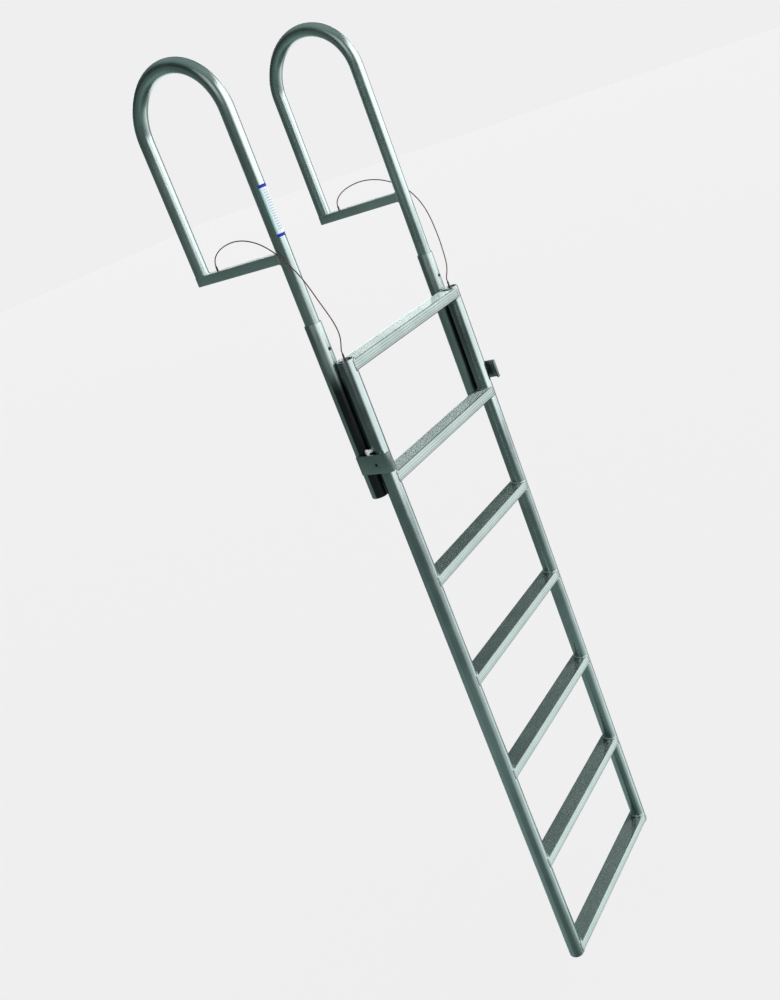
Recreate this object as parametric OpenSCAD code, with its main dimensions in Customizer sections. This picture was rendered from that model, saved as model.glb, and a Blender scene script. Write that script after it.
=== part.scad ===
// Lifting dock and boat boarding ladder: two deck-mounted handrail hoops carry a pair of sleeves,
// and a seven-tread ladder section slides up and down in front of them.
// Origin: deck level, midway between the hoops, over the middle of the foot bars.
// +X runs along the treads, +Y points back over the deck, +Z is up.

/* [Ladder section] */
// Distance between the two rail axes
rail_span = 534; // [420:1:620]
// Outside diameter of a rail tube
rail_od = 44.45; // [40:0.05:46]
// Wall thickness of a rail tube
rail_wall = 3.2; // [2.5:0.1:4]
// Distance from one tread to the next
tread_pitch = 304.8; // [280:0.1:320]
// Depth of the top tread under the deck
tread_drop = 268; // [250:1:290]
// Length of rail below the top of the lowest tread
rail_tail = 35; // [34:1:90]
// Distance from the sleeve axes forward to the rail axes
rail_offset = 47; // [46:0.5:52]

/* [Treads] */
// Depth of a tread from front to back
tread_depth = 47; // [45:0.5:60]
// Height of a tread at its back edge
tread_height = 33.5; // [30:0.5:38]
// Drop of the tread surface from back to front
tread_fall = 5.5; // [0:0.5:8]
// Wall thickness of a tread
tread_wall = 3; // [2.5:0.1:4]
// Distance between the grip ribs on a tread's top
rib_pitch = 4; // [3.5:0.1:5]
// Depth of the grooves between the grip ribs
rib_depth = 1; // [0.5:0.1:1.2]
// Distance between the ribs on a tread's front
front_rib_pitch = 6.5; // [5:0.1:8]

/* [Handrails] */
// Distance between the two hoops
hoop_span = 550; // [440:1:640]
// Distance between the front and rear leg axes of a hoop
hoop_depth = 286; // [260:1:320]
// Height of the hoop's top centreline over the deck
hoop_height = 515; // [450:1:700]
// Outside diameter of a handrail tube
hoop_od = 38.1; // [36:0.1:38.1]
// Wall thickness of a handrail tube
hoop_wall = 3; // [2:0.1:3.5]
// Length of front leg that is inside its sleeve
leg_insert = 150; // [120:1:200]

/* [Foot bars] */
// Width of a foot bar
bar_width = 30; // [26:1:36]
// Height of a foot bar
bar_height = 25.4; // [20:0.2:30]
// Distance between the two deck bolts of one foot bar
bolt_spacing = 110; // [90:1:130]
// Diameter of a deck bolt hole
bolt_hole_d = 9; // [8.4:0.1:10]

/* [Sleeves and guide straps] */
// Outside diameter of a sleeve tube
sleeve_od = 44.45; // [42:0.05:46]
// Bore of a sleeve tube
sleeve_bore = 38.25; // [38.2:0.01:38.3]
// Depth of the sleeve's top edge under the deck
sleeve_drop = 160; // [140:1:180]
// Length of a sleeve
sleeve_length = 472; // [420:1:520]
// Depth of a guide strap's top edge under the deck
strap_drop = 511; // [490:1:520]
// Height of a guide strap
strap_height = 51; // [40:1:60]
// Thickness of a guide strap
strap_thick = 5; // [3:0.5:6]
// Length of the lip that closes the front of a guide strap
strap_lip = 16; // [12:1:22]

/* [Pins, buttons and lanyards] */
// Diameter of a lock pin
pin_d = 7.94; // [6:0.01:7.94]
// Diameter of a snap button
button_d = 8.8; // [8:0.1:8.8]
// Depth of a snap button under the sleeve's top edge
button_drop = 70; // [60:1:90]
// Diameter of a lanyard over its coating
lanyard_d = 3; // [2:0.1:3.2]

/* [Hidden] */
$fn = 48;

tread_count = 7;
bend_r = hoop_depth / 2;
bend_z = hoop_height - bend_r;
hoop_x = hoop_span / 2;
leg_y = -hoop_depth / 2;
rail_x = rail_span / 2;
rail_y = leg_y - rail_offset;
rail_id = rail_od - 2 * rail_wall;
rail_top = -tread_drop;
rail_bottom = rail_top - (tread_count - 1) * tread_pitch - rail_tail;
sleeve_top = -sleeve_drop;
leg_bottom = sleeve_top - leg_insert;
button_z = sleeve_top - button_drop;
button_reach = 3.2;
button_hole_d = button_d + 0.2;
button_face = hoop_od / 2 - hoop_wall - 1.35;
button_flange = 2;
button_dome_r = 6;
strap_top = -strap_drop;
strap_inner = hoop_x + sleeve_od / 2;
strap_outer = strap_inner + strap_thick;
strap_bend_r = 5;
strap_front = leg_y - 89;
strap_rear = leg_y + 8;
lock_z = strap_top - 27;
lock_hole_d = 8.4;
stop_d = 9.525;
stop_head_af = 14.3;
stop_head_h = 6.2;
stop_head_r = 31;
stop_turn = 30;
stop_z = strap_top + stop_head_af / 2 + 0.1;
nut_d = 12.7;
cap_recess = 8;
cap_length = 30;
cap_bore_d = 8.06;
foot_thick = 2;
bar_end = 14;
anchor_y = 86;
anchor_d = 5;
anchor_sunk = 12;
anchor_proud = 12;
label_low = 62;
label_high = 190;
collar_d = 15;
collar_h = 4;
pin_length = 62;
ferrule_d = 5;
ferrule_h = 16;
overlap = 1;

// Route of the right lanyard, from the foot bar over the front leg and down to the rail's top end
lanyard_route = [
    [275, 86, 37.4], [275, 84, 47], [276, 76, 58], [277, 62, 68], [279, 42, 76], [281, 18, 81],
    [284, -8, 83], [287, -34, 81], [290, -60, 75], [293, -86, 65], [296, -110, 51], [299, -132, 34],
    [300, -152, 12], [299, -169, -14], [296, -182, -42], [292, -191, -74], [287, -197, -106],
    [281, -202, -136], [275, -205, -163], [271, -206, -187], [269, -204, -207], [268, -199, -223],
    [267, -193, -236], [267, -190, -244], [267, -190, -248], [267, -190, -252]
];

// Draws the children for the right-hand side, mirrored when side is -1
module on_side(side) {
    if (side > 0) children();
    else mirror([1, 0, 0]) children();
}

module pipe(outer_d, inner_d, z0, z1) {
    difference() {
        translate([0, 0, z0]) cylinder(d = outer_d, h = z1 - z0);
        translate([0, 0, z0 - overlap]) cylinder(d = inner_d, h = z1 - z0 + 2 * overlap);
    }
}

// A rod of diameter d along X from x0 to x1
module rod_x(d, x0, x1, sides = $fn) {
    translate([x0, 0, 0]) rotate([0, 90, 0]) cylinder(d = d, h = x1 - x0, $fn = sides);
}

// A rod of diameter d along Y from y0 to y1
module rod_y(d, y0, y1) {
    translate([0, y1, 0]) rotate([90, 0, 0]) cylinder(d = d, h = y1 - y0);
}

module hoop_bend() {
    translate([0, 0, bend_z]) rotate([90, 0, 90]) rotate_extrude(angle = 180)
        translate([bend_r, 0]) difference() {
            circle(d = hoop_od);
            circle(d = hoop_od - 2 * hoop_wall);
        }
}

// One bent tube: rear leg on the foot bar, half-round top, front leg down into the sleeve
module handrail(side) {
    color("#9db8b0") on_side(side) translate([hoop_x, 0, 0]) {
        hoop_bend();
        translate([0, hoop_depth / 2, 0])
            pipe(hoop_od, hoop_od - 2 * hoop_wall, bar_height, bend_z);
        difference() {
            translate([0, leg_y, 0])
                pipe(hoop_od, hoop_od - 2 * hoop_wall, leg_bottom, bend_z);
            translate([0, 0, button_z]) rod_y(button_hole_d, leg_y - hoop_od, leg_y);
        }
    }
}

// Solid bar between the legs, with two deck bolt holes and the lanyard's socket
module foot_bar(side) {
    color("#8aa79e") on_side(side) translate([hoop_x, 0, 0]) difference() {
        translate([-bar_width / 2, leg_y, 0])
            cube([bar_width, hoop_depth + bar_end, bar_height]);
        translate([0, leg_y, -overlap]) cylinder(d = hoop_od + 0.1, h = bar_height + 2 * overlap);
        for (end = [-1, 1])
            translate([0, end * bolt_spacing / 2, -overlap])
                cylinder(d = bolt_hole_d, h = bar_height + 2 * overlap);
        translate([0, anchor_y, bar_height - anchor_sunk])
            cylinder(d = anchor_d, h = anchor_sunk + overlap);
    }
}

module sleeve(side) {
    color("#a7c2ba") on_side(side) translate([hoop_x, leg_y, 0]) difference() {
        pipe(sleeve_od, sleeve_bore, sleeve_top - sleeve_length, sleeve_top);
        translate([0, 0, button_z]) rod_y(button_hole_d, -sleeve_od, 0);
    }
}

// Flat strap on the sleeve's outer side that reaches past the rail and turns in across its front
module guide_strap(side) {
    corner = [strap_outer - strap_bend_r - strap_thick, strap_front + strap_bend_r + strap_thick];
    color("#7f9c94") on_side(side) difference() {
        translate([0, 0, strap_top - strap_height]) linear_extrude(strap_height) {
            translate([strap_inner, corner[1]])
                square([strap_thick, strap_rear - corner[1]]);
            intersection() {
                translate(corner) difference() {
                    circle(r = strap_bend_r + strap_thick);
                    circle(r = strap_bend_r);
                }
                translate([corner[0], strap_front])
                    square(strap_bend_r + strap_thick);
            }
            translate([strap_outer - strap_lip, strap_front])
                square([corner[0] - strap_outer + strap_lip, strap_thick]);
        }
        translate([0, rail_y, lock_z])
            rod_x(lock_hole_d, strap_inner - overlap, strap_outer + overlap);
    }
}

// Bent leaf spring inside the front leg: one arm behind the button, the other on the back wall
module button_spring(side) {
    arm_front = button_flange - button_face;
    arm_back = hoop_od / 2 - hoop_wall - 0.75;
    leaf = 0.8;
    color("#c9cdd0") on_side(side) translate([hoop_x - 4.5, leg_y, button_z])
        rotate([90, 0, 90]) linear_extrude(9) polygon([
            [arm_front, 10], [arm_front, -12], [-2, -46], [3, -46], [arm_back, -4],
            [arm_back, 4], [arm_back - leaf, 4], [arm_back - leaf, -4],
            [3 - leaf, -46 + leaf], [-2 + leaf, -46 + leaf],
            [arm_front + leaf, -12], [arm_front + leaf, 10]
        ]);
}

// Domed push button that locks the front leg in its sleeve
module snap_button(side) {
    tip = sleeve_od / 2 + button_reach;
    neck = tip - button_dome_r;
    color("#d6dadb") on_side(side) translate([hoop_x, leg_y, button_z])
        rotate([90, 0, 0]) rotate_extrude() {
            translate([0, button_face - button_flange])
                square([button_d / 2 + 1.5, button_flange]);
            translate([0, button_face - overlap]) square([button_d / 2, neck - button_face + overlap]);
            translate([0, neck]) intersection() {
                circle(r = button_dome_r);
                square([button_d / 2, button_dome_r]);
            }
        }
}

// Crimped end of the lanyard, pressed into the foot bar
module lanyard_anchor(side) {
    color("#3a2624") on_side(side) translate([hoop_x, anchor_y, bar_height - anchor_sunk])
        cylinder(d = anchor_d, h = anchor_sunk + anchor_proud);
}

// Catmull-Rom point between b and c
function blend_point(a, b, c, d, t) =
    0.5 * (2 * b + (c - a) * t + (2 * a - 5 * b + 4 * c - d) * t * t
    + (3 * b - a - 3 * c + d) * t * t * t);
function smooth(route, steps) = let (n = len(route)) concat(
    [for (i = [0:n - 2], k = [0:steps - 1]) blend_point(
        route[max(i - 1, 0)], route[i], route[i + 1], route[min(i + 2, n - 1)], k / steps)],
    [route[n - 1]]);
function unit(v) = v / norm(v);
function heading(path, i) =
    unit(path[min(i + 1, len(path) - 1)] - path[max(i - 1, 0)]);

// Round tube along a path of points
module swept_tube(path, d, sides = 8) {
    n = len(path);
    rings = [for (i = [0:n - 1]) let (
            t = heading(path, i),
            u = unit(cross(t, [1, 0, 0])),
            v = cross(t, u)
        ) for (k = [0:sides - 1])
            path[i] + d / 2 * (cos(360 * k / sides) * u + sin(360 * k / sides) * v)];
    skin = [for (i = [0:n - 2], k = [0:sides - 1])
        [i * sides + k, i * sides + (k + 1) % sides,
         (i + 1) * sides + (k + 1) % sides, (i + 1) * sides + k]];
    first = [for (k = [sides - 1:-1:0]) k];
    last = [for (k = [0:sides - 1]) (n - 1) * sides + k];
    polyhedron(points = rings, faces = concat(skin, [first, last]));
}

// Stiff coated wire that ties the ladder section to the foot bar
module lanyard(side) {
    color("#5a2a26") on_side(side) swept_tube(smooth(lanyard_route, 2), lanyard_d);
}

// Plain label round the outer front of the left front leg
module label_sticker() {
    skin = 0.25;
    color("#eef2f6") translate([-hoop_x, leg_y, label_low]) rotate([0, 0, -140])
        rotate_extrude(angle = 95) translate([hoop_od / 2, 0]) square([skin, label_high - label_low]);
}

module rail(side) {
    color("#9bb6ae") on_side(side) translate([rail_x, rail_y, 0]) difference() {
        pipe(rail_od, rail_id, rail_bottom, rail_top);
        translate([0, 0, stop_z]) rotate([0, 0, stop_turn]) rod_x(nut_d, rail_id / 4, rail_od);
        translate([0, 0, lock_z]) rod_x(lock_hole_d, rail_id / 4, rail_od);
    }
}

// Outline points of evenly spaced grooves, half a rib pitch wide, along one edge of the tread
function notches(from, to, inward, pitch) = let (
        run = norm(to - from),
        along = (to - from) / run,
        count = floor(run / pitch) - 1,
        start = (run - (count - 1) * pitch - rib_pitch / 2) / 2
    ) [for (i = [0:count - 1], k = [0:3]) let (
            s = start + i * pitch + (k < 2 ? 0 : rib_pitch / 2),
            deep = (k == 1 || k == 2) ? rib_depth : 0
        ) from + along * s + inward * deep];

// Tread section in the Y-Z plane, back edge at the top, ribbed on top and front
function tread_outline() = let (
        back = tread_depth / 2,
        top_back = [back, 0],
        top_front = [-back, -tread_fall],
        low_front = [-back, -tread_height],
        slope = (top_front - top_back) / norm(top_front - top_back)
    ) concat(
        [top_back], notches(top_back, top_front, [-slope[1], slope[0]], rib_pitch),
        [top_front], notches(top_front, low_front, [1, 0], front_rib_pitch),
        [low_front, [back, -tread_height]]);

module tread(number) {
    inset = tread_depth / 2 - tread_wall;
    color("#b4ccc4") translate([0, rail_y, rail_top - (number - 1) * tread_pitch]) difference() {
        translate([-rail_x, 0, 0]) rotate([90, 0, 90]) linear_extrude(2 * rail_x) difference() {
            polygon(tread_outline());
            polygon([
                [inset, -tread_wall], [-inset, -tread_fall - tread_wall],
                [-inset, tread_wall - tread_height], [inset, tread_wall - tread_height]
            ]);
        }
        for (side = [-1, 1])
            translate([side * rail_x, 0, -2 * tread_height])
                cylinder(d = rail_od + 0.1, h = 3 * tread_height);
    }
}

// Recessed plug in a rail's top end, bored to park the lock pin
module rail_cap(side) {
    color("#3b3d3d") on_side(side) translate([rail_x, rail_y, 0])
        pipe(rail_id, cap_bore_d, rail_top - cap_recess - cap_length, rail_top - cap_recess);
}

module rail_foot(side) {
    color("#2b2422") on_side(side) translate([rail_x, rail_y, rail_bottom]) {
        cylinder(d = rail_id, h = 25);
        translate([0, 0, -foot_thick]) cylinder(d = rail_od - 1, h = foot_thick);
    }
}

// Bolt, turned towards the sleeve, whose head rests on the guide strap when the ladder is down
module stop_bolt(side) {
    color("#e4e8ea") on_side(side) translate([rail_x, rail_y, stop_z]) rotate([0, 0, stop_turn]) {
        rod_x(stop_d, 6, stop_head_r + 1);
        rotate([30, 0, 0]) rod_x(stop_head_af / cos(30), stop_head_r, stop_head_r + stop_head_h, 6);
    }
}

// Flanged insert in the rail's outer wall that the stop bolt screws into
module rivet_nut(side) {
    wall = rail_od / 2;
    color("#c4c8ca") on_side(side) translate([rail_x, rail_y, stop_z]) rotate([0, 0, stop_turn])
        difference() {
            union() {
                rod_x(nut_d, 8, wall + 1);
                rod_x(nut_d + 4, wall, wall + 1);
            }
            rod_x(stop_d, 0, wall + 2 * overlap);
        }
}

module lock_pin(side) {
    base = rail_top - cap_recess;
    color("#ccd1d3") on_side(side) translate([rail_x, rail_y, base]) {
        translate([0, 0, collar_h - pin_length]) cylinder(d = pin_d, h = pin_length - overlap);
        cylinder(d = collar_d, h = collar_h);
    }
}

module lanyard_ferrule(side) {
    color("#3a2624") on_side(side)
        translate([rail_x, rail_y, rail_top - cap_recess + collar_h])
            cylinder(d = ferrule_d, h = lanyard_route[len(lanyard_route) - 1][2]
                - rail_top + cap_recess - collar_h);
}

handrail(-1);  // handrail_left
handrail(1);  // handrail_right
foot_bar(-1);  // foot_bar_left
foot_bar(1);  // foot_bar_right
sleeve(-1);  // sleeve_left
sleeve(1);  // sleeve_right
guide_strap(-1);  // guide_strap_left
guide_strap(1);  // guide_strap_right
button_spring(-1);  // button_spring_left
button_spring(1);  // button_spring_right
snap_button(-1);  // snap_button_left
snap_button(1);  // snap_button_right
lanyard_anchor(-1);  // lanyard_anchor_left
lanyard_anchor(1);  // lanyard_anchor_right
lanyard(-1);  // lanyard_left
lanyard(1);  // lanyard_right
label_sticker();
rail(-1);  // rail_left
rail(1);  // rail_right
tread(1);  // rung_1
tread(2);  // rung_2
tread(3);  // rung_3
tread(4);  // rung_4
tread(5);  // rung_5
tread(6);  // rung_6
tread(7);  // rung_7
rail_cap(-1);  // rail_cap_left
rail_cap(1);  // rail_cap_right
rail_foot(-1);  // rail_foot_left
rail_foot(1);  // rail_foot_right
stop_bolt(-1);  // stop_bolt_left
stop_bolt(1);  // stop_bolt_right
rivet_nut(-1);  // rivet_nut_left
rivet_nut(1);  // rivet_nut_right
lock_pin(-1);  // lock_pin_left
lock_pin(1);  // lock_pin_right
lanyard_ferrule(-1);  // lanyard_ferrule_left
lanyard_ferrule(1);  // lanyard_ferrule_right
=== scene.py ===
"""Boat boarding ladder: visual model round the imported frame.

Shapes are drawn in millimetres and become metres in make().
"""
import math

import bmesh
import bpy
from mathutils import Matrix, Vector


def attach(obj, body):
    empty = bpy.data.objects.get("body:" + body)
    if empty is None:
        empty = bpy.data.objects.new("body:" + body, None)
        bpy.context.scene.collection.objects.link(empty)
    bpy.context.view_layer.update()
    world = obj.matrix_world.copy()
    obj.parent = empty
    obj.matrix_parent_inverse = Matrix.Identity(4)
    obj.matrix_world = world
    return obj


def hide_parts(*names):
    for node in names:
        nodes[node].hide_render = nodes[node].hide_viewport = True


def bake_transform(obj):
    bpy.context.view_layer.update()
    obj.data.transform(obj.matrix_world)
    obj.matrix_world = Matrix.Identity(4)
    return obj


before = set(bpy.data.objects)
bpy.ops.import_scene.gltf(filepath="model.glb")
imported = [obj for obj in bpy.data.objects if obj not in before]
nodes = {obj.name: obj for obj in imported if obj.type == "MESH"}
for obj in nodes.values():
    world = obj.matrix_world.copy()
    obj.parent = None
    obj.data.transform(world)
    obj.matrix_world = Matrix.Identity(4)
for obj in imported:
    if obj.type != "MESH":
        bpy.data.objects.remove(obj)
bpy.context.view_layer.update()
scene = bpy.context.scene
scene.view_settings.view_transform = "Standard"
scene.view_settings.look = "None"
MM = 0.001
TURN = 2 * math.pi
SIDES = (("left", -1), ("right", 1))

# ---------------------------------------------------------------- dimensions shared with the CAD
HOOP_X, HOOP_R, HOOP_IN = 275.0, 19.05, 16.05
LEG_Y, REAR_LEG_Y = -143.0, 143.0
BEND_R, BEND_Z = 143.0, 372.0
LEG_LOW = -310.0
BAR_HALF, BAR_H, BAR_EDGE = 15, 25.4, 1.4
BOLT_Y, BOLT_HOLE_R = 55.0, 4.5
SLEEVE_R, SLEEVE_IN, SLEEVE_TOP, SLEEVE_LOW = 22.225, 19.125, -160.0, -632.0
RAIL_X, RAIL_Y, RAIL_R, RAIL_IN = 267.0, -190.0, 22.225, 19.025
RAIL_TOP, PITCH, TREADS = -268.0, 304.8, 7
RAIL_LOW = RAIL_TOP - (TREADS - 1) * PITCH - 35.0
TREAD_HALF, TREAD_H, TREAD_FALL = 23.5, 33.5, 5.5
STRAP_TOP, STRAP_H, STRAP_IN, STRAP_OUT = -511.0, 51.0, 297.225, 302.225
STRAP_FRONT, STRAP_REAR, STRAP_LIP = -232.0, -135.0, 16.0
LOCK_Z, LOCK_HOLE_R = -538.0, 4.2
STOP_Z, STOP_TURN, STOP_BORE_R = -503.75, 30.0, 6.35
BUTTON_Z, BUTTON_HOLE_R = -230.0, 4.5
WIRE_R = 1.5
LABEL_LOW, LABEL_H = 62, 128

# ---------------------------------------------------------------- sizes that only the looks need
SHARP = 35  # degrees: a steeper edge between two faces is shaded as a sharp one
AXIS_R = 1e-4  # radius of a turned part where it meets its axis
GAP = 0.05  # between two surfaces that meet
TURNED = 64  # sides of a tube or turned part
BORED = 40  # sides of a drilled hole or a small turned part
BEAD_STEP, PUDDLE = 0.65, 2.7  # a weld bead's ring spacing and puddle spacing

# ---------------------------------------------------------------- camera
# Fitted to tube edges in the photograph, with its view centre 100 pixels above the middle
cam_data = bpy.data.cameras.new("camera")
cam_data.lens = 38.126
cam_data.sensor_width = 36
cam_data.shift_y = -0.10
cam_data.clip_end = 200
camera = bpy.data.objects.new("camera", cam_data)
scene.collection.objects.link(camera)
right = Vector((0.51685, -0.78261, -0.34697))
up = Vector((0.41208, -0.12782, 0.90214))
back = Vector((-0.75037, -0.60925, 0.25644))
aim = Matrix((right, up, back)).transposed().to_4x4()
camera.matrix_world = Matrix.Translation((-2.17715, -1.82746, 0.26486)) @ aim
scene.camera = camera


# ---------------------------------------------------------------- mesh helpers
def smooth(mesh, sharp):
    """Smooth shading with sharp edges above an angle in degrees."""
    mesh.shade_smooth()
    mesh.set_sharp_from_angle(angle=math.radians(sharp))


def make(name, verts, faces, sharp=SHARP):
    """A mesh object from millimetre points."""
    mesh = bpy.data.meshes.new(name)
    mesh.from_pydata([[c * MM for c in v] for v in verts], [], faces)
    mesh.validate()
    bm = bmesh.new()
    bm.from_mesh(mesh)
    bmesh.ops.remove_doubles(bm, verts=bm.verts, dist=1e-7)
    bmesh.ops.recalc_face_normals(bm, faces=bm.faces)
    bm.to_mesh(mesh)
    bm.free()
    smooth(mesh, sharp)
    obj = bpy.data.objects.new(name, mesh)
    scene.collection.objects.link(obj)
    return obj


def skin(rings, closed=False):
    """Faces that join rings of equally many points, capped unless the last meets the first."""
    verts = [p for ring in rings for p in ring]
    n, m = len(rings[0]), len(rings)
    faces = []
    for i in range(m if closed else m - 1):
        j = (i + 1) % m
        for k in range(n):
            after = (k + 1) % n
            faces.append([i * n + k, i * n + after, j * n + after, j * n + k])
    if not closed:
        faces.append(list(range(n))[::-1])
        faces.append([(m - 1) * n + k for k in range(n)])
    return verts, faces


def lathe(profile, centre, axis="Z", segments=TURNED):
    """A closed (radius, height) profile turned round an axis through centre."""
    rings = []
    for radius, height in profile:
        ring = []
        for k in range(segments):
            a = TURN * k / segments
            u, v = radius * math.cos(a), radius * math.sin(a)
            local = {"Z": (u, v, height), "Y": (v, height, u), "X": (height, u, v)}[axis]
            ring.append([local[i] + centre[i] for i in range(3)])
        rings.append(ring)
    return skin(rings, closed=True)


def pipe_profile(outer, inner, low, high):
    """Closed wall profile of a cut tube with its sharp edges broken."""
    edge = 0.7
    e = edge * 0.3
    return [
        (outer - edge, low), (outer - e, low + e), (outer, low + edge),
        (outer, high - edge), (outer - e, high - e), (outer - edge, high),
        (inner + edge, high), (inner + e, high - e), (inner, high - edge),
        (inner, low + edge), (inner + e, low + e), (inner + edge, low),
    ]


def solid_profile(points):
    """Profile of a solid turned part, closed along its axis."""
    return [(AXIS_R, points[0][1])] + list(points) + [(AXIS_R, points[-1][1])]


def normal_frames(points, closed=False):
    """Steady normal and binormal at each point of a path."""
    n = len(points)
    pts = [Vector(p) for p in points]
    tangents = []
    for i in range(n):
        a = pts[(i - 1) % n] if closed or i > 0 else pts[i]
        b = pts[(i + 1) % n] if closed or i < n - 1 else pts[i]
        tangents.append((b - a).normalized())
    first = Vector((1, 0, 0)) if abs(tangents[0].x) < 0.8 else Vector((0, 0, 1))
    u = tangents[0].cross(first).normalized()
    out = []
    for i, t in enumerate(tangents):
        if i:
            u = (tangents[i - 1].rotation_difference(t) @ u).normalized()
        u = (u - t * u.dot(t)).normalized()
        out.append((pts[i], u, t.cross(u)))
    return out


def sweep(points, radius, sides, closed=False):
    """Rings of a round tube along a path; radius may be a function of the point number."""
    rings = []
    for i, (p, u, v) in enumerate(normal_frames(points, closed)):
        r = radius(i) if callable(radius) else radius
        ring = []
        for k in range(sides):
            a = TURN * k / sides
            ring.append(list(p + r * (math.cos(a) * u + math.sin(a) * v)))
        rings.append(ring)
    return rings


def path_length(points):
    """Length of the straight runs between the points."""
    return sum((b - a).length for a, b in zip(points, points[1:]))


def even(points, step, closed=False):
    """The same path with points a fixed step apart."""
    pts = [Vector(p) for p in points]
    if closed:
        pts.append(pts[0])
    lengths = [0.0]
    for a, b in zip(pts, pts[1:]):
        lengths.append(lengths[-1] + (b - a).length)
    count = max(3, round(lengths[-1] / step))
    out, j = [], 0
    for i in range(count if closed else count + 1):
        s = lengths[-1] * i / count
        while j < len(pts) - 2 and lengths[j + 1] < s:
            j += 1
        span = lengths[j + 1] - lengths[j]
        out.append(pts[j].lerp(pts[j + 1], (s - lengths[j]) / span if span else 0))
    return out


def rounded(points, radius, steps):
    """A closed outline with its corners rounded; radius may be a list, one for each corner."""
    out = []
    for i, p in enumerate(points):
        r = radius[i] if isinstance(radius, list) else radius
        p, a, b = Vector(p), Vector(points[i - 1]), Vector(points[(i + 1) % len(points)])
        u, v = (a - p).normalized(), (b - p).normalized()
        half = u.angle(v) / 2
        reach = r / math.tan(half)
        centre = p + (u + v).normalized() * (r / math.sin(half))
        s, e = p + u * reach - centre, p + v * reach - centre
        arc = s.angle(e)
        sign = 1 if s.x * e.y - s.y * e.x > 0 else -1
        for k in range(steps + 1):
            t = sign * arc * k / steps
            c, d = math.cos(t), math.sin(t)
            out.append(centre + Vector((s.x * c - s.y * d, s.x * d + s.y * c)))
    return out


def merge(parts):
    """Several (verts, faces) as one."""
    verts, faces = [], []
    for v, f in parts:
        base = len(verts)
        verts += v
        faces += [[i + base for i in face] for face in f]
    return verts, faces


def mirrored(mesh_data, side):
    """The right-hand piece's points moved to its side."""
    verts, faces = mesh_data
    return [[v[0] * side, v[1], v[2]] for v in verts], faces


def cut(obj, cutter):
    """Takes cutter's volume out of obj."""
    modifier = obj.modifiers.new("cut", "BOOLEAN")
    modifier.operation = "DIFFERENCE"
    modifier.solver = "EXACT"
    modifier.object = cutter
    graph = bpy.context.evaluated_depsgraph_get()
    mesh = bpy.data.meshes.new_from_object(obj.evaluated_get(graph))
    obj.modifiers.clear()
    obj.data = mesh
    smooth(mesh, SHARP)
    bpy.data.objects.remove(cutter)


def drill(obj, centre, axis, radius, low, high):
    """Drills a round hole through obj between two heights along the axis."""
    verts, faces = lathe(solid_profile([(radius, low), (radius, high)]), centre, axis, BORED)
    cut(obj, make("drill", verts, faces))


def drill_button_hole(obj, side, tube_r):
    """Drills the snap button's hole through the front wall of a leg or sleeve."""
    centre = (HOOP_X * side, LEG_Y, BUTTON_Z)
    drill(obj, centre, "Y", BUTTON_HOLE_R, -tube_r * 1.5, 0.0)


def drill_lock_hole(obj, side, near, far):
    """Drills the lock pin's hole through one wall, between two distances from the middle."""
    low, high = sorted((near * side, far * side))
    drill(obj, (0, RAIL_Y, LOCK_Z), "X", LOCK_HOLE_R, low, high)


def place(obj, body, material, replaces=()):
    """Gives a piece its material and its body, and hides the CAD nodes that it stands for."""
    obj.data.materials.clear()
    obj.data.materials.append(material)
    if replaces:
        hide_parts(*replaces)
    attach(obj, body)


# ---------------------------------------------------------------- node trees
class Tree:
    """Short hand for building a node tree."""

    def __init__(self, tree):
        self.tree = tree

    def add(self, kind, **values):
        node = self.tree.nodes.new(kind)
        for key, value in values.items():
            if hasattr(node, key):
                setattr(node, key, value)
            else:
                node.inputs[key.replace("_", " ")].default_value = value
        return node

    def link(self, a, b):
        self.tree.links.new(a, b)

    def split(self, coords):
        """The X, Y and Z of a vector."""
        node = self.add("ShaderNodeSeparateXYZ")
        self.link(coords, node.inputs[0])
        return node.outputs["X"], node.outputs["Y"], node.outputs["Z"]

    def math(self, operation, a, b=0.0):
        node = self.add("ShaderNodeMath", operation=operation)
        for socket, value in zip(node.inputs, (a, b)):
            if isinstance(value, (int, float)):
                socket.default_value = value
            else:
                self.link(value, socket)
        return node.outputs[0]

    def remap(self, value, low, high, to_low=0.0, to_high=1.0):
        """Smooth step from to_low, where the value is low, to to_high, where it is high."""
        node = self.add("ShaderNodeMapRange", interpolation_type="SMOOTHSTEP")
        names = ("From Min", "From Max", "To Min", "To Max")
        for name, number in zip(names, (low, high, to_low, to_high)):
            node.inputs[name].default_value = number
        self.link(value, node.inputs["Value"])
        return node.outputs["Result"]


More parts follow.
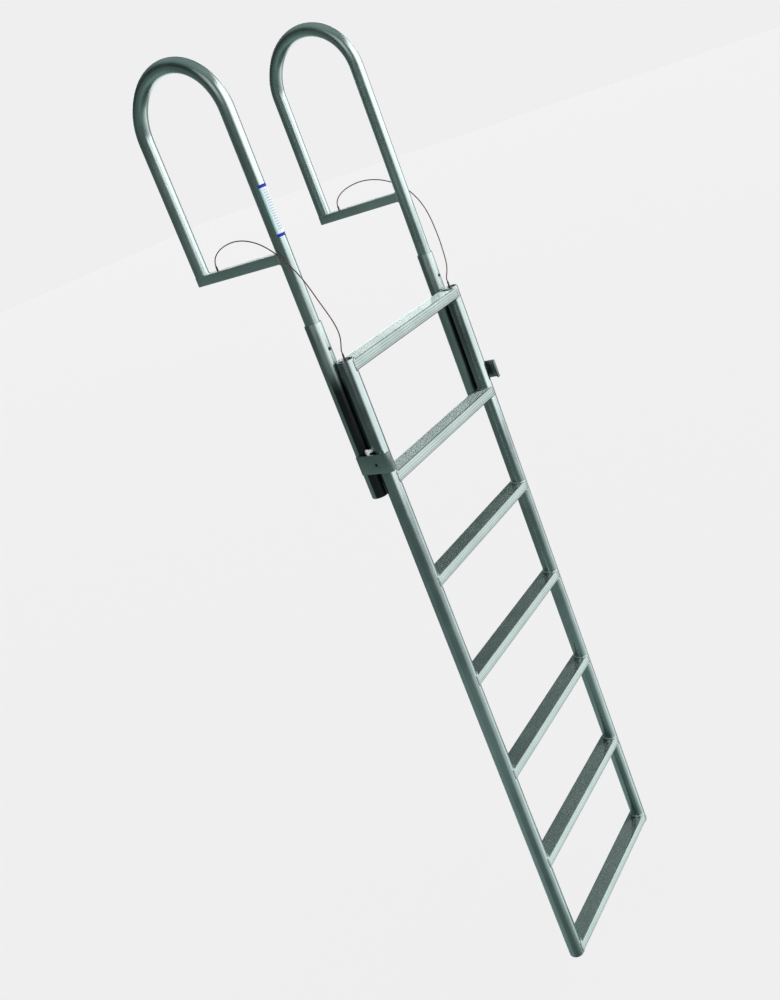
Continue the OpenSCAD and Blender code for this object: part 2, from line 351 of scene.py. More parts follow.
class Surface(Tree):
    """Short hand for a material on the object's own coordinates."""

    def __init__(self, name):
        self.material = bpy.data.materials.new(name)
        self.material.use_nodes = True
        super().__init__(self.material.node_tree)
        self.shader = self.tree.nodes["Principled BSDF"]
        self.coords = self.add("ShaderNodeTexCoord").outputs["Object"]

    def noise(self, scale, detail, stretch=None, roughness=0.55):
        node = self.add("ShaderNodeTexNoise", Scale=scale, Detail=detail, Roughness=roughness)
        vector = self.coords
        if stretch:
            mapping = self.add("ShaderNodeMapping")
            mapping.inputs["Scale"].default_value = stretch
            self.link(self.coords, mapping.inputs["Vector"])
            vector = mapping.outputs["Vector"]
        self.link(vector, node.inputs["Vector"])
        return node.outputs["Fac"]

    def mix(self, factor, a, b):
        """Colour a where the factor is 0, b where it is 1."""
        node = self.add("ShaderNodeMix", data_type="RGBA")
        self.link(factor, node.inputs["Factor"])
        for socket, value in ((node.inputs[6], a), (node.inputs[7], b)):
            if isinstance(value, tuple):
                socket.default_value = (*value, 1)
            else:
                self.link(value, socket)
        return node.outputs[2]

    def bump(self, height, distance, strength):
        node = self.add("ShaderNodeBump")
        node.inputs["Strength"].default_value = strength
        node.inputs["Distance"].default_value = distance
        self.link(height, node.inputs["Height"])
        return node.outputs["Normal"]

    def set(self, **values):
        """Sets or links the shader's sockets, and gives the finished material."""
        for key, value in values.items():
            socket = self.shader.inputs[key.replace("_", " ")]
            if isinstance(value, tuple):
                socket.default_value = (*value, 1)
            elif isinstance(value, (int, float)):
                socket.default_value = value
            else:
                self.link(value, socket)
        return self.material


# ---------------------------------------------------------------- materials
# Dark colour mixed in wherever shade is painted on the metal
PAINTED_SHADE_COLOUR = (0.035, 0.040, 0.040)


def anodised(name, light, dark, rough, grain, shade=None):
    """Satin anodised aluminium: die lines along the extrusion, faint mottling, light scuffs."""
    n = Surface(name)
    lines = n.noise(1.0, 3.0, grain)
    cloud = n.noise(11.0, 4.0)
    scuff = n.remap(n.noise(34.0, 6.0, roughness=0.6), 0.58, 0.72)
    tone = n.math("ADD", n.math("MULTIPLY", cloud, 0.7), n.math("MULTIPLY", lines, 0.3))
    colour = n.mix(n.remap(tone, 0.36, 0.64), dark, light)
    scuffed = tuple(min(1, c * 1.2) for c in light)
    colour = n.mix(n.math("MULTIPLY", scuff, 0.12), colour, scuffed)
    # Painted shade: the shade function's mask darkens the colour towards the dark shade colour
    if shade:
        colour = n.mix(shade(n), colour, PAINTED_SHADE_COLOUR)
    satin = n.math("ADD", n.remap(cloud, 0.3, 0.7, *rough), n.math("MULTIPLY", scuff, 0.05))
    return n.set(
        Base_Color=colour, Metallic=1.0, Roughness=satin, Normal=n.bump(lines, 0.00003, 0.5),
    )


def sleeve_painted_shade(n):
    """Painted shade: a dark band on the side of a sleeve that faces the ladder's rail."""
    x, y, z = n.split(n.coords)
    forward = n.math("MULTIPLY", n.math("ADD", y, -LEG_Y * MM), -1000.0)
    forward = n.math("SUBTRACT", forward, n.remap(x, -0.1, 0.1, 0.0, 11.0))
    near = n.remap(forward, 0.0, 4.5, 0.0, 0.97)
    edge = n.math("ADD", z, n.math("MULTIPLY", n.noise(30.0, 3.0), 0.02))
    return n.math("MULTIPLY", near, n.remap(edge, -0.330, -0.262, 1.0, 0.0))


def hole_shadow(n):
    """Dark wall of the lock pin holes."""
    x, y, z = n.split(n.coords)
    dy = n.math("ADD", y, -RAIL_Y * MM)
    dz = n.math("ADD", z, -LOCK_Z * MM)
    squares = n.math("ADD", n.math("MULTIPLY", dy, dy), n.math("MULTIPLY", dz, dz))
    radius = n.math("SQRT", squares)
    outer = n.remap(n.math("ABSOLUTE", x), 0.285, 0.286)
    return n.math("MULTIPLY", n.remap(radius, 0.00425, 0.0044, 0.95, 0.0), outer)


def strap_shadow(n):
    """Dark inside of a guide strap and of its lock pin hole."""
    x, y, _ = n.split(n.coords)
    inside = n.remap(n.math("ABSOLUTE", x), 0.2975, 0.2995, 0.62, 0.0)
    forward = n.remap(y, -0.172, -0.160, 1.0, 0.0)
    return n.math("MAXIMUM", n.math("MULTIPLY", inside, forward), hole_shadow(n))


def tread_painted_shade(n):
    """Painted shade on every tread: dark grooves, a dark line behind the nose, a darker lower
    front and a dark lower edge.
    """
    _, y, z = n.split(n.coords)
    # Heights below the back of a tread's top, and distances back from its front
    drop = n.math("MODULO", n.math("SUBTRACT", -0.2675, z), PITCH * MM)
    below = n.math("SUBTRACT", drop, 0.0005)
    inward = n.math("ADD", y, (TREAD_HALF - RAIL_Y) * MM)
    fall = n.math("MULTIPLY", n.math("SUBTRACT", 2 * TREAD_HALF * MM, inward), 0.117)
    depth = n.math("SUBTRACT", below, fall)
    grooves = 0.0
    for value, level in ((depth, 0.60), (inward, 0.45)):
        start = n.remap(value, 0.0002, 0.0008, 0.0, level)
        line = n.math("MULTIPLY", start, n.remap(value, 0.0018, 0.0026, 1.0, 0.0))
        grooves = n.math("MAXIMUM", line, grooves)
    faint = n.remap(below, 0.017, 0.029, 0.0, 0.24)
    low = n.math("ADD", faint, n.remap(below, 0.0290, 0.0318, 0.0, 0.60))
    low = n.math("MULTIPLY", low, n.remap(inward, 0.004, 0.007, 1.0, 0.0))
    return n.math("MAXIMUM", grooves, low)


def rail_painted_shade(n):
    """Painted shade that dims the top of a rail, fading downwards, and painted shadow in the
    lock pin holes.
    """
    _, _, z = n.split(n.coords)
    edge = n.math("ADD", z, n.math("MULTIPLY", n.noise(6.0, 3.0), 0.05))
    return n.math("MAXIMUM", n.remap(edge, -0.62, -0.40, 0.0, 0.34), hole_shadow(n))


def weld_metal():
    """Bright, finely rippled metal of the weld beads."""
    n = Surface("weld")
    cloud = n.noise(160.0, 5.0)
    fine = n.noise(1400.0, 3.0)
    colour = n.mix(n.remap(cloud, 0.35, 0.65), (0.46, 0.52, 0.50), (0.82, 0.87, 0.85))
    return n.set(
        Base_Color=colour, Metallic=1.0, Roughness=n.remap(cloud, 0.3, 0.7, 0.26, 0.44),
        Normal=n.bump(fine, 0.0001, 0.5),
    )


def steel(name, light, dark, rough):
    """Turned or stamped steel with fine tool marks."""
    n = Surface(name)
    cloud = n.noise(220.0, 5.0)
    turned = n.noise(2600.0, 2.0)
    colour = n.mix(n.remap(cloud, 0.35, 0.65), dark, light)
    return n.set(
        Base_Color=colour, Metallic=1.0,
        Roughness=n.remap(cloud, 0.3, 0.7, rough - 0.05, rough + 0.08),
        Normal=n.bump(turned, 0.00004, 0.4),
    )


def moulded(name, light, dark, rough, scale=700.0):
    """Moulded or dipped surface with a fine grain and no metal look."""
    n = Surface(name)
    cloud = n.noise(90.0, 4.0)
    grain = n.noise(scale, 3.0)
    colour = n.mix(n.remap(cloud, 0.35, 0.65), dark, light)
    return n.set(
        Base_Color=colour, Roughness=n.remap(grain, 0.3, 0.7, rough - 0.06, rough + 0.08),
        Normal=n.bump(grain, 0.00012, 0.4),
    )


def wire_coating():
    """Clear-over-maroon vinyl with the strands of the wire showing faintly through."""
    n = Surface("wire_coating")
    strands = n.noise(1.0, 2.0, (900.0, 260.0, 260.0))
    cloud = n.noise(60.0, 4.0)
    colour = n.mix(n.remap(strands, 0.4, 0.6), (0.045, 0.012, 0.010), (0.16, 0.045, 0.035))
    return n.set(
        Base_Color=colour, Roughness=n.remap(cloud, 0.3, 0.7, 0.28, 0.42),
        Coat_Weight=0.3, Normal=n.bump(strands, 0.0001, 0.5),
    )


def label_vinyl():
    """Blank white label: blue bands at its ends, teal down one edge, pale rules between."""
    n = Surface("label")
    x, y, z = n.split(n.coords)
    middle = n.math("ABSOLUTE", n.math("SUBTRACT", z, (LABEL_LOW + LABEL_H / 2) * MM))
    band = n.remap(middle, 0.0560, 0.0566)
    from_leg = n.math("ADD", y, -LEG_Y * MM)
    across = n.math("ARCTAN2", from_leg, n.math("ADD", x, HOOP_X * MM))
    left = n.remap(across, -2.28, -2.22, 1.0, 0.0)
    off_column = n.math("ABSOLUTE", n.math("SUBTRACT", across, -1.62))
    column = n.remap(off_column, 0.36, 0.38, 1.0, 0.0)
    rules = n.remap(n.math("PINGPONG", z, 0.0032), 0.0019, 0.0023)
    inside = n.remap(middle, 0.050, 0.051, 1.0, 0.0)
    ruled = n.math("MULTIPLY", n.math("MULTIPLY", column, rules), inside)
    speck = n.noise(420.0, 3.0)
    white = n.mix(speck, (0.80, 0.84, 0.87), (0.90, 0.92, 0.93))
    pale = n.mix(n.math("MULTIPLY", ruled, 0.75), white, (0.14, 0.50, 0.58))
    pale = n.mix(n.math("MULTIPLY", left, 0.8), pale, (0.10, 0.55, 0.52))
    colour = n.mix(band, pale, (0.000, 0.030, 0.42))
    return n.set(
        Base_Color=colour, Roughness=n.remap(speck, 0.3, 0.7, 0.42, 0.52),
        Specular_IOR_Level=0.25, Normal=n.bump(speck, 0.00003, 0.3),
    )


# Noise scales that draw the die lines out along one axis
ALONG_X, ALONG_Y, ALONG_Z = (1.2, 420.0, 420.0), (420.0, 1.2, 420.0), (420.0, 420.0, 1.2)
# Name, light and dark colour, roughness, die line stretch and, for some, a mask of painted shade
M_HOOP = anodised(
    "anodised_handrail", (0.52, 0.64, 0.60), (0.44, 0.55, 0.52), (0.24, 0.32), ALONG_Z)
M_TUBE = anodised(
    "anodised_rail", (0.48, 0.59, 0.56), (0.40, 0.50, 0.48), (0.19, 0.26), ALONG_Z, rail_painted_shade)
M_SLEEVE = anodised(
    "anodised_sleeve", (0.46, 0.56, 0.53), (0.39, 0.48, 0.45), (0.34, 0.44), ALONG_Z,
    sleeve_painted_shade)
M_BAR = anodised("anodised_bar", (0.66, 0.80, 0.76), (0.57, 0.70, 0.66), (0.34, 0.44), ALONG_Y)
M_STRAP = anodised(
    "anodised_strap", (0.46, 0.57, 0.54), (0.38, 0.48, 0.45), (0.36, 0.48), ALONG_Y,
    strap_shadow)
M_TREAD = anodised(
    "anodised_tread", (0.52, 0.63, 0.59), (0.44, 0.55, 0.51), (0.13, 0.19), ALONG_X,
    tread_painted_shade)
M_WELD = weld_metal()
M_BOLT = moulded("zinc_bolt", (0.86, 0.90, 0.90), (0.74, 0.78, 0.78), 0.34)
M_STEEL = steel("stainless_pin", (0.70, 0.72, 0.72), (0.52, 0.54, 0.54), 0.26)
M_BUTTON = steel("button_steel", (0.060, 0.062, 0.060), (0.030, 0.032, 0.030), 0.30)
M_CAP = moulded("black_plastic", (0.035, 0.040, 0.038), (0.020, 0.023, 0.022), 0.42)
M_RUBBER = moulded("foot_rubber", (0.050, 0.028, 0.022), (0.026, 0.016, 0.013), 0.62, 380.0)
M_WIRE = wire_coating()
M_CRIMP = moulded("crimp_coating", (0.085, 0.035, 0.030), (0.035, 0.014, 0.012), 0.36)
M_LABEL = label_vinyl()

# ---------------------------------------------------------------- lanyards
ROUTE = [
    (275, 86, 37.4), (275, 84, 47), (276, 76, 58), (277, 62, 68), (279, 42, 76), (281, 18, 81),
    (284, -8, 83), (287, -34, 81), (290, -60, 75), (293, -86, 65), (296, -110, 51),
    (299, -132, 34), (300, -152, 12), (299, -169, -14), (296, -182, -42), (292, -191, -74),
    (287, -197, -106), (281, -202, -136), (275, -205, -163), (271, -206, -187),
    (269, -204, -207), (268, -199, -223), (267, -193, -236), (267, -190, -244),
    (267, -190, -248), (267, -190, -252),
]


def smooth_route(route, steps):
    """Catmull-Rom points through the route."""
    pts = [Vector(p) for p in route]
    out = []
    for i in range(len(pts) - 1):
        a, b = pts[max(i - 1, 0)], pts[i]
        c, d = pts[i + 1], pts[min(i + 2, len(pts) - 1)]
        for k in range(steps):
            t = k / steps
            out.append(0.5 * (2 * b + (c - a) * t + (2 * a - 5 * b + 4 * c - d) * t * t
                              + (3 * b - a - 3 * c + d) * t * t * t))
    out.append(pts[-1])
    return out


for name, side in SIDES:
    points = [Vector((p.x * side, p.y, p.z)) for p in smooth_route(ROUTE, 6)]
    verts, faces = skin(sweep(points, WIRE_R, 14))
    wire = make("lanyard_wire_" + name, verts, faces, 60)
    wire.data.materials.append(M_WIRE)
    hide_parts("lanyard_" + name)
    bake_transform(wire)

# ---------------------------------------------------------------- handrail hoops
BEND_STEPS = 48
hoop_line = [(HOOP_X, REAR_LEG_Y, BAR_H)] + [(HOOP_X, REAR_LEG_Y, z) for z in range(60, 372, 40)]
for k in range(BEND_STEPS + 1):
    a = math.pi * k / BEND_STEPS
    hoop_line.append((HOOP_X, BEND_R * math.cos(a), BEND_Z + BEND_R * math.sin(a)))
hoop_line += [(HOOP_X, LEG_Y, z) for z in range(340, -300, -40)] + [(HOOP_X, LEG_Y, LEG_LOW)]
for name, side in SIDES:
    outer, inner = sweep(hoop_line, HOOP_R, 56), sweep(hoop_line, HOOP_IN, 56)
    wall = skin(outer + inner[::-1], closed=True)
    hoop = make("hoop_tube_" + name, *mirrored(wall, side), 30)
    drill_button_hole(hoop, side, HOOP_R)
    place(hoop, "dock_frame", M_HOOP, ["handrail_" + name])


# ---------------------------------------------------------------- foot bars
def bar_outline(steps):
    """A foot bar's cross-section, seen along Y."""
    corners = [(-BAR_HALF, 0), (BAR_HALF, 0), (BAR_HALF, BAR_H), (-BAR_HALF, BAR_H)]
    return rounded(corners, BAR_EDGE, steps)


def leg_reach(x):
    """How far a leg's surface is from its axis along Y, x to its side."""
    return math.sqrt(HOOP_R ** 2 - x ** 2)


bar_section, bar_centre = bar_outline(5), Vector((0, BAR_H / 2))
bar_rings = [[(HOOP_X + p.x, LEG_Y + leg_reach(p.x) + GAP, p.y) for p in bar_section]]
for y in range(-110, 156, 30):
    bar_rings.append([(HOOP_X + p.x, y, p.y) for p in bar_section])
for y, inset in ((155.6, 0.0), (156.5, 0.35), (157.0, 1.2)):
    wide, high = 1 - inset / BAR_HALF, 1 - inset / (BAR_H / 2)
    bar_rings.append([
        (HOOP_X + p.x * wide, y, bar_centre.y + (p.y - bar_centre.y) * high)
        for p in bar_section])
for name, side in SIDES:
    bar = make("foot_plate_" + name, *mirrored(skin(bar_rings), side), 30)
    for y in (-BOLT_Y, BOLT_Y):
        drill(bar, (HOOP_X * side, y, 0.0), "Z", BOLT_HOLE_R, -5.0, BAR_H + 5.0)
    place(bar, "dock_frame", M_BAR, ["foot_bar_" + name])

# ---------------------------------------------------------------- sleeves
for name, side in SIDES:
    profile = pipe_profile(SLEEVE_R, SLEEVE_IN, SLEEVE_LOW, SLEEVE_TOP)
    sleeve = make("sleeve_tube_" + name, *mirrored(lathe(profile, (HOOP_X, LEG_Y, 0)), side), 40)
    drill_button_hole(sleeve, side, SLEEVE_R)
    place(sleeve, "dock_frame", M_SLEEVE, ["sleeve_" + name])


# ---------------------------------------------------------------- guide straps
def inward_normals(outline):
    """At each point of a closed outline, the unit vector that points inside."""
    inward = []
    for i, p in enumerate(outline):
        u = (p - outline[i - 1]).normalized()
        v = (outline[(i + 1) % len(outline)] - p).normalized()
        m = (u + v).normalized()
        inward.append(Vector((-m.y, m.x)))
    area = sum(outline[i - 1].x * p.y - p.x * outline[i - 1].y for i, p in enumerate(outline))
    return [w if area > 0 else -w for w in inward]


strap_t = STRAP_OUT - STRAP_IN
lip_x, lip_y = STRAP_OUT - STRAP_LIP, STRAP_FRONT + strap_t
strap_outline = rounded(
    [(STRAP_IN, STRAP_REAR), (STRAP_IN, lip_y), (lip_x, lip_y),
     (lip_x, STRAP_FRONT), (STRAP_OUT, STRAP_FRONT), (STRAP_OUT, STRAP_REAR)],
    [0.8, 5.0, 1.2, 1.2, 10.0, 0.8], 8)
strap_inward = inward_normals(strap_outline)
strap_rings = []
for z, inset in ((0.0, 0.7), (0.2, 0.2), (0.7, 0.0),
                 (STRAP_H - 0.7, 0.0), (STRAP_H - 0.2, 0.2), (STRAP_H, 0.7)):
    strap_rings.append([
        (p.x + w.x * inset, p.y + w.y * inset, STRAP_TOP - STRAP_H + z)
        for p, w in zip(strap_outline, strap_inward)])
for name, side in SIDES:
    strap = make("strap_bent_" + name, *mirrored(skin(strap_rings), side), 35)
    drill_lock_hole(strap, side, 290, 310)
    place(strap, "dock_frame", M_STRAP, ["guide_strap_" + name])


# ---------------------------------------------------------------- ladder rails
def stop_axis(mesh_data):
    """Points made along +X from a rail's axis, turned to the right-hand stop bolt's place."""
    c, s = math.cos(math.radians(STOP_TURN)), math.sin(math.radians(STOP_TURN))
    verts, faces = mesh_data
    turned = [[RAIL_X + x * c - y * s, RAIL_Y + x * s + y * c, STOP_Z + z] for x, y, z in verts]
    return turned, faces


def turned_along_x(points):
    """A solid turned part along +X."""
    return lathe(solid_profile(points), (0, 0, 0), "X", BORED)


for name, side in SIDES:
    profile = pipe_profile(RAIL_R, RAIL_IN, RAIL_LOW, RAIL_TOP)
    rail = make("rail_tube_" + name, *mirrored(lathe(profile, (RAIL_X, RAIL_Y, 0)), side), 40)
    drill_lock_hole(rail, side, 272, 295)
    bore = stop_axis(turned_along_x([(STOP_BORE_R, 9.0), (STOP_BORE_R, 28.0)]))
    cut(rail, make("bore", *mirrored(bore, side)))
    place(rail, "ladder_section", M_TUBE, ["rail_" + name])

# ---------------------------------------------------------------- treads
GROOVE_W, GROOVE_D = 2.0, 1.0
GROOVE_SHAPE = (  # share of the width, share of the depth
    (0.0, 0.0), (0.06, 0.35), (0.18, 0.8), (0.35, 1.0),
    (0.65, 1.0), (0.82, 0.8), (0.94, 0.35), (1.0, 0.0),
)


def groove(a, b, inward, pitch):
    """Points of a straight edge from a to b with evenly spaced rounded grooves."""
    a, b, inward = Vector(a), Vector(b), Vector(inward)
    run = (b - a).length
    along = (b - a) / run
    count = math.floor(run / pitch) - 1
    start = (run - (count - 1) * pitch - GROOVE_W) / 2
    out = []
    for i in range(count):
        s = start + i * pitch
        for t, d in GROOVE_SHAPE:
            out.append(a + along * (s + t * GROOVE_W) + inward * GROOVE_D * d)
    return out


BACK_TOP, FRONT_TOP = (TREAD_HALF, 0.0), (-TREAD_HALF, -TREAD_FALL)
FRONT_LOW, BACK_LOW = (-TREAD_HALF, -TREAD_H), (TREAD_HALF, -TREAD_H)
plain = rounded([BACK_TOP, FRONT_TOP, FRONT_LOW, BACK_LOW], [1.2, 1.2, 3.6, 1.2], 5)
slope = (Vector(FRONT_TOP) - Vector(BACK_TOP)).normalized()
tread_section = (
    plain[0:6] + groove(BACK_TOP, FRONT_TOP, (-slope.y, slope.x), 4.0)
    + plain[6:12] + groove(FRONT_TOP, FRONT_LOW, (1, 0), 6.5) + plain[12:]
)


def rail_reach(dy):
    """How far from a rail's axis, towards the middle, its surface is at that depth."""
    r = RAIL_R + GAP
    return math.sqrt(r * r - dy * dy) if abs(dy) < r else 0.0


def weld_bead(path, radius, closed=False):
    """A row of overlapping weld puddles along a path."""
    pts = even(path, BEAD_STEP, closed)
    step = path_length(pts) / max(1, len(pts) - 1)

    def bead_radius(i):
        phase = (i * step / PUDDLE) % 1.0
        end = 1.0 if closed else min(1.0, 0.45 + 0.12 * min(i, len(pts) - 1 - i))
        return radius * end * (0.86 + 0.20 * math.sin(math.pi * phase) ** 0.6)

    return skin(sweep(pts, bead_radius, 10, closed), closed)


def tread_weld_path(s, z0):
    """The weld's path round one end of a tread; s is -1 for the left end and 1 for the right."""
    half, steps = 22.0, 24
    side_x = s * (RAIL_X - 3.4)
    path = []
    for i in range(steps + 1):
        dy = half - 2 * half * i / steps
        top = -TREAD_FALL * (TREAD_HALF - dy) / (2 * TREAD_HALF)
        path.append((s * (RAIL_X - rail_reach(dy) - 0.4), RAIL_Y + dy, z0 + top + 0.1))
    for i in range(1, 8):
        front = z0 - TREAD_FALL - (TREAD_H - TREAD_FALL) * i / 8
        path.append((side_x, RAIL_Y - 22.4, front))
    for i in range(steps + 1):
        dy = -half + 2 * half * i / steps
        path.append((s * (RAIL_X - rail_reach(dy) - 0.4), RAIL_Y + dy, z0 - TREAD_H - 0.1))
    for i in range(1, 8):
        path.append((side_x, RAIL_Y + 22.4, z0 - TREAD_H + TREAD_H * i / 8))
    return path


for number in range(1, TREADS + 1):
    z0 = RAIL_TOP - (number - 1) * PITCH
    ends = []
    for s in (-1, 1):
        ends.append([
            (s * (RAIL_X - rail_reach(p.x)), RAIL_Y + p.x, z0 + p.y) for p in tread_section])
    tread = make("tread_%d" % number, *skin(ends), 28)
    place(tread, "ladder_section", M_TREAD, ["rung_%d" % number])
    beads = merge([weld_bead(tread_weld_path(s, z0), 2.0, True) for s in (-1, 1)])
    weld = make("tread_weld_%d" % number, *beads, 60)
    place(weld, "ladder_section", M_WELD)

# ---------------------------------------------------------------- welds on the dock frame
collar = []
for p in bar_outline(3):
    lift = 0.3 if p.y > 12 else -0.3
    collar.append((HOOP_X + p.x * 1.01, LEG_Y + leg_reach(p.x) + 0.5, p.y + lift))
heel = []
for i in range(17):
    x = -14.6 + 29.2 * i / 16
    heel.append((HOOP_X + x, REAR_LEG_Y - leg_reach(x) - 0.3, BAR_H + 0.2))
parts = [weld_bead(even(collar, 2.0, True), 2.3, True), weld_bead(heel, 2.0)]
for x in (-15.2, 15.2):
    top = BAR_H - 0.3
    parts.append(weld_bead([(HOOP_X + x, 132.5, top), (HOOP_X + x, 153.0, top)], 1.6))
for x, y in ((STRAP_IN - 0.6, STRAP_REAR + 0.4), (STRAP_IN - 1.3, LEG_Y - 8.2)):
    parts.append(weld_bead([(x, y, STRAP_TOP - 2), (x, y, STRAP_TOP - STRAP_H + 2)], 1.9))
for name, side in SIDES:
    weld = make("frame_weld_" + name, *mirrored(merge(parts), side), 60)
    place(weld, "dock_frame", M_WELD)

# ---------------------------------------------------------------- rail ends
# Turned profiles as (radius, height); the foot's heights start at the rail's low end
CAP = [
    (4.03, -306), (4.03, -277.2), (4.6, -276.4), (5.6, -276), (15.5, -276), (16.6, -276.4),
    (17.2, -277.4), (18.0, -278.0), (18.6, -277.2), (19.0, -277.6), (19.0, -306),
]
FOOT = [
    (17.0, -2.0), (20.4, -1.8), (21.2, -1.4), (21.6, -0.8), (21.7, -0.2), (21.3, 0.0),
    (19.0, 0.02), (19.0, 23.0), (17.5, 25.0),
]
for name, side in SIDES:
    at = (RAIL_X * side, RAIL_Y, 0)
    cap = make("rail_plug_" + name, *lathe(CAP, at), 40)
    place(cap, "ladder_section", M_CAP, ["rail_cap_" + name])
    foot_profile = solid_profile([(r, RAIL_LOW + h) for r, h in FOOT])
    foot = make("rail_foot_pad_" + name, *lathe(foot_profile, at), 40)
    place(foot, "ladder_section", M_RUBBER, ["rail_foot_" + name])


# ---------------------------------------------------------------- stop bolts
def hex_head(start, height, across):
    """Hexagon head along +X with a chamfered outer face and a washer face."""
    flat, segments, rings = across / 2, 72, []
    # Each ring's share of the flat's radius, or None for the hexagon, and its height, or
    # None for the chamfer
    steps = (
        (0.94, 0.0), (0.94, 0.35), (None, 0.36), (None, None), (0.95, height),
        (0.2, height - 0.05),
    )
    for share, level in steps:
        ring = []
        for k in range(segments):
            a = TURN * k / segments
            corner = flat / math.cos(((a + math.pi / 6) % (math.pi / 3)) - math.pi / 6)
            r = flat * share if share else corner
            h = height - (corner - flat * 0.95) * 0.5 if level is None else level
            ring.append((start + h, r * math.sin(a), r * math.cos(a)))
        rings.append(ring)
    return skin(rings)


for name, side in SIDES:
    shank = turned_along_x([(4.4, 6.0), (4.7625, 6.6), (4.7625, 31.2)])
    hex_bolt = stop_axis(merge([shank, hex_head(31.0, 6.2, 14.3)]))
    bolt = make("stop_bolt_hex_" + name, *mirrored(hex_bolt, side), 25)
    place(bolt, "ladder_section", M_BOLT, ["stop_bolt_" + name])

# ---------------------------------------------------------------- snap buttons and lock pins
PIN = [
    (3.1, -334.0), (3.97, -332.8), (3.97, -276.0), (7.0, -276.0), (7.5, -275.6),
    (7.5, -272.5), (7.1, -272.0),
]
DOME_R, DOME_Y, DOME_STEPS = 6.0, -19.425, 8
button_profile = [(AXIS_R, -12.7), (5.9, -14.7 + 2.0), (5.9, -14.7), (4.4, -14.75), (4.4, -21.4)]
for k in range(DOME_STEPS + 1):
    a = math.radians(47.2 * (1 - k / DOME_STEPS))
    button_profile.append((max(DOME_R * math.sin(a), 0.01), DOME_Y - DOME_R * math.cos(a)))
for name, side in SIDES:
    at = (HOOP_X * side, LEG_Y, BUTTON_Z)
    button = make("push_button_" + name, *lathe(button_profile, at, "Y", 48), 40)
    place(button, "snap_button_" + name, M_BUTTON, ["snap_button_" + name])
    at = (RAIL_X * side, RAIL_Y, 0)
    pin = make("parked_pin_" + name, *lathe(solid_profile(PIN), at, "Z", 48), 35)
    place(pin, "lock_pin_" + name, M_STEEL, ["lock_pin_" + name])

# ---------------------------------------------------------------- label
LABEL_STEPS, LABEL_OUT, LABEL_IN = 24, 19.28, 19.06
arc = []
for k in range(LABEL_STEPS + 1):
    a = math.radians(-140 + 95 * k / LABEL_STEPS)
    arc.append((math.cos(a), math.sin(a)))
label_rings = []
for i in range(LABEL_STEPS + 1):
    z = LABEL_LOW + LABEL_H * i / LABEL_STEPS
    outer = [(-HOOP_X + LABEL_OUT * x, LEG_Y + LABEL_OUT * y, z) for x, y in arc]
    inner = [(-HOOP_X + LABEL_IN * x, LEG_Y + LABEL_IN * y, z) for x, y in arc[::-1]]
    label_rings.append(outer + inner)
label = make("blank_label", *skin(label_rings), 40)
place(label, "dock_frame", M_LABEL, ["label_sticker"])

# ---------------------------------------------------------------- CAD nodes that stay
for name, _ in SIDES:
    for node, material in (("button_spring_", M_STEEL), ("rivet_nut_", M_STEEL),
                           ("lanyard_anchor_", M_CRIMP), ("lanyard_ferrule_", M_CRIMP)):
        obj = nodes[node + name]
        obj.data.materials.clear()
        obj.data.materials.append(material)

# ---------------------------------------------------------------- floor and backdrop
# Both glow, for the photograph's even background
BACKDROP_GLOW, FLOOR_GLOW, FLOOR_TONE = 0.8632, (0.806, 0.801, 0.801), 0.12
FLOOR_Z, FLOOR_HALF = -2300, 40000
SKY_R, SKY_ROWS = 60000, 24


def floor_paint():
    """Matt floor with a faint mottle."""
    n = Surface("floor_paint")
    mottle = n.mix(n.noise(3.0, 3.0), (FLOOR_TONE * 0.995,) * 3, (FLOOR_TONE * 1.005,) * 3)
    return n.set(Base_Color=mottle, Roughness=0.9, Specular_IOR_Level=0.1,
                 Emission_Color=FLOOR_GLOW, Emission_Strength=1.0)


def backdrop_paint():
    """Even tone that no light changes."""
    return Surface("backdrop_paint").set(
        Base_Color=(0.0, 0.0, 0.0), Roughness=1.0, Specular_IOR_Level=0.0,
        Emission_Color=(BACKDROP_GLOW,) * 3, Emission_Strength=1.0)


def sky_ring(row):
    """One level ring of the backdrop's sphere."""
    a = math.pi * (row + 0.5) / SKY_ROWS
    ring = []
    for j in range(2 * SKY_ROWS):
        b = math.pi * j / SKY_ROWS
        ring.append((SKY_R * math.sin(a) * math.cos(b), SKY_R * math.sin(a) * math.sin(b),
                     -SKY_R * math.cos(a)))
    return ring


corners = ((-1, -1), (1, -1), (1, 1), (-1, 1))
floor_points = [(FLOOR_HALF * x, FLOOR_HALF * y, FLOOR_Z) for x, y in corners]
floor = make("floor", floor_points, [[0, 1, 2, 3]])
floor.data.materials.append(floor_paint())
floor.visible_glossy = False
backdrop = make("backdrop", *skin([sky_ring(row) for row in range(SKY_ROWS)]))
backdrop.data.materials.append(backdrop_paint())
for ray in ("diffuse", "glossy", "transmission", "shadow", "volume_scatter"):
    setattr(backdrop, "visible_" + ray, False)

# ---------------------------------------------------------------- studio light
world = bpy.data.worlds.new("studio")
scene.world = world
world.use_nodes = True
studio = Tree(world.node_tree)
background = studio.tree.nodes["Background"]
direction = studio.add("ShaderNodeTexCoord").outputs["Generated"]
east, north, height = studio.split(direction)
azimuth = studio.math("MULTIPLY", studio.math("ARCTAN2", north, east), 180 / math.pi)
elevation = studio.math("MULTIPLY", studio.math("ARCSINE", height), 180 / math.pi)


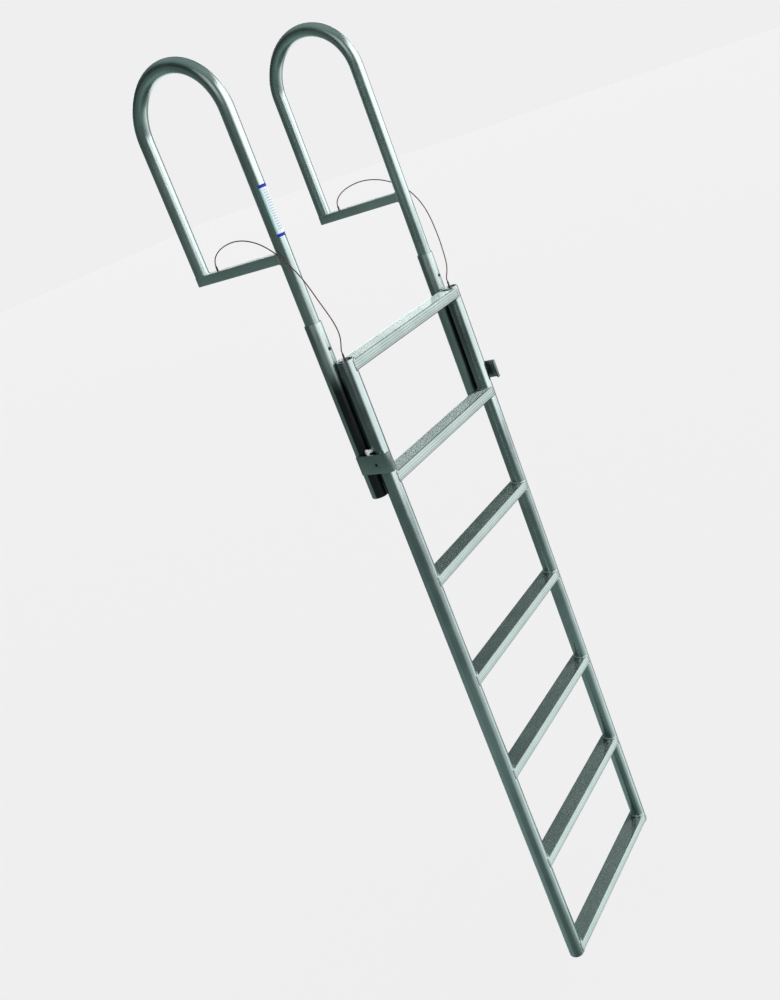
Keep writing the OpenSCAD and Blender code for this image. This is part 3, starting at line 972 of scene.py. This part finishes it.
def softbox(az, az_half, az_soft, el_low, el_high, el_soft, level):
    """A soft-edged light area of the studio, centred at an azimuth in degrees."""
    turned = studio.math("ADD", studio.math("SUBTRACT", azimuth, az), 720.0)
    offset = studio.math("PINGPONG", turned, 180.0)
    wide = studio.remap(offset, az_half - az_soft, az_half + az_soft, level, 0.0)
    low = studio.remap(elevation, el_low - el_soft, el_low + el_soft)
    high = studio.remap(elevation, el_high - el_soft, el_high + el_soft, 1.0, 0.0)
    return studio.math("MULTIPLY", studio.math("MULTIPLY", wide, low), high)


def tinted(value, tint):
    """A level of light as a colour."""
    node = studio.add("ShaderNodeVectorMath", operation="SCALE")
    node.inputs[0].default_value = tint
    studio.link(value, node.inputs["Scale"])
    return node.outputs[0]


# Room light by elevation: dim below, a little lighter near the horizon, lighter overhead
room = studio.remap(elevation, -74.0, -58.0, 0.05, 0.26)
room = studio.math("ADD", room, studio.remap(elevation, -46.0, -18.0, 0.0, -0.135))
room = studio.math("ADD", room, studio.remap(elevation, 35.0, 65.0, 0.0, 0.14))
# Darker parts of the room
room = studio.math("SUBTRACT", room, softbox(140, 60, 25, 4, 40, 8, 0.08))
room = studio.math("SUBTRACT", room, softbox(-160, 45, 15, -64, -44, 2, 0.12))
lobes = 0.0
for box in (
    (-66, 46, 16, -6.5, 40, 1.6, 2.1),  # main light
    (-54, 44, 22, -56, -10, 5, 0.48),  # weak light below it
    (-38, 13, 6, -56, 0, 5, 0.62),
    (35, 40, 15, 9, 18.0, 1.3, 2.0),  # low strip behind the ladder
    (35, 60, 30, 24, 62, 3, 0.07),
    (-170, 19, 7, 12, 39, 2.5, 0.70),  # light from the left
    (39, 24, 10, -60, 3, 4, 1.1),  # soft light for the ladder's rear
):
    lobes = studio.math("ADD", softbox(*box), lobes)
light = studio.add("ShaderNodeVectorMath")
studio.link(tinted(room, (0.88, 1.16, 1.12)), light.inputs[0])
studio.link(tinted(lobes, (1.06, 1.0, 1.04)), light.inputs[1])
studio.link(light.outputs[0], background.inputs["Color"])
background.inputs["Strength"].default_value = 1.0

lamp_data = bpy.data.lights.new("top_softbox", "AREA")
lamp_data.shape = "RECTANGLE"
lamp_data.size, lamp_data.size_y = 4.0, 4.0
lamp_data.energy = 2
lamp = bpy.data.objects.new("top_softbox", lamp_data)
scene.collection.objects.link(lamp)
lamp.location = (0.5, -1.0, 4.5)
lamp.rotation_euler = (math.radians(-12), math.radians(-6), 0)
lamp.visible_camera = False
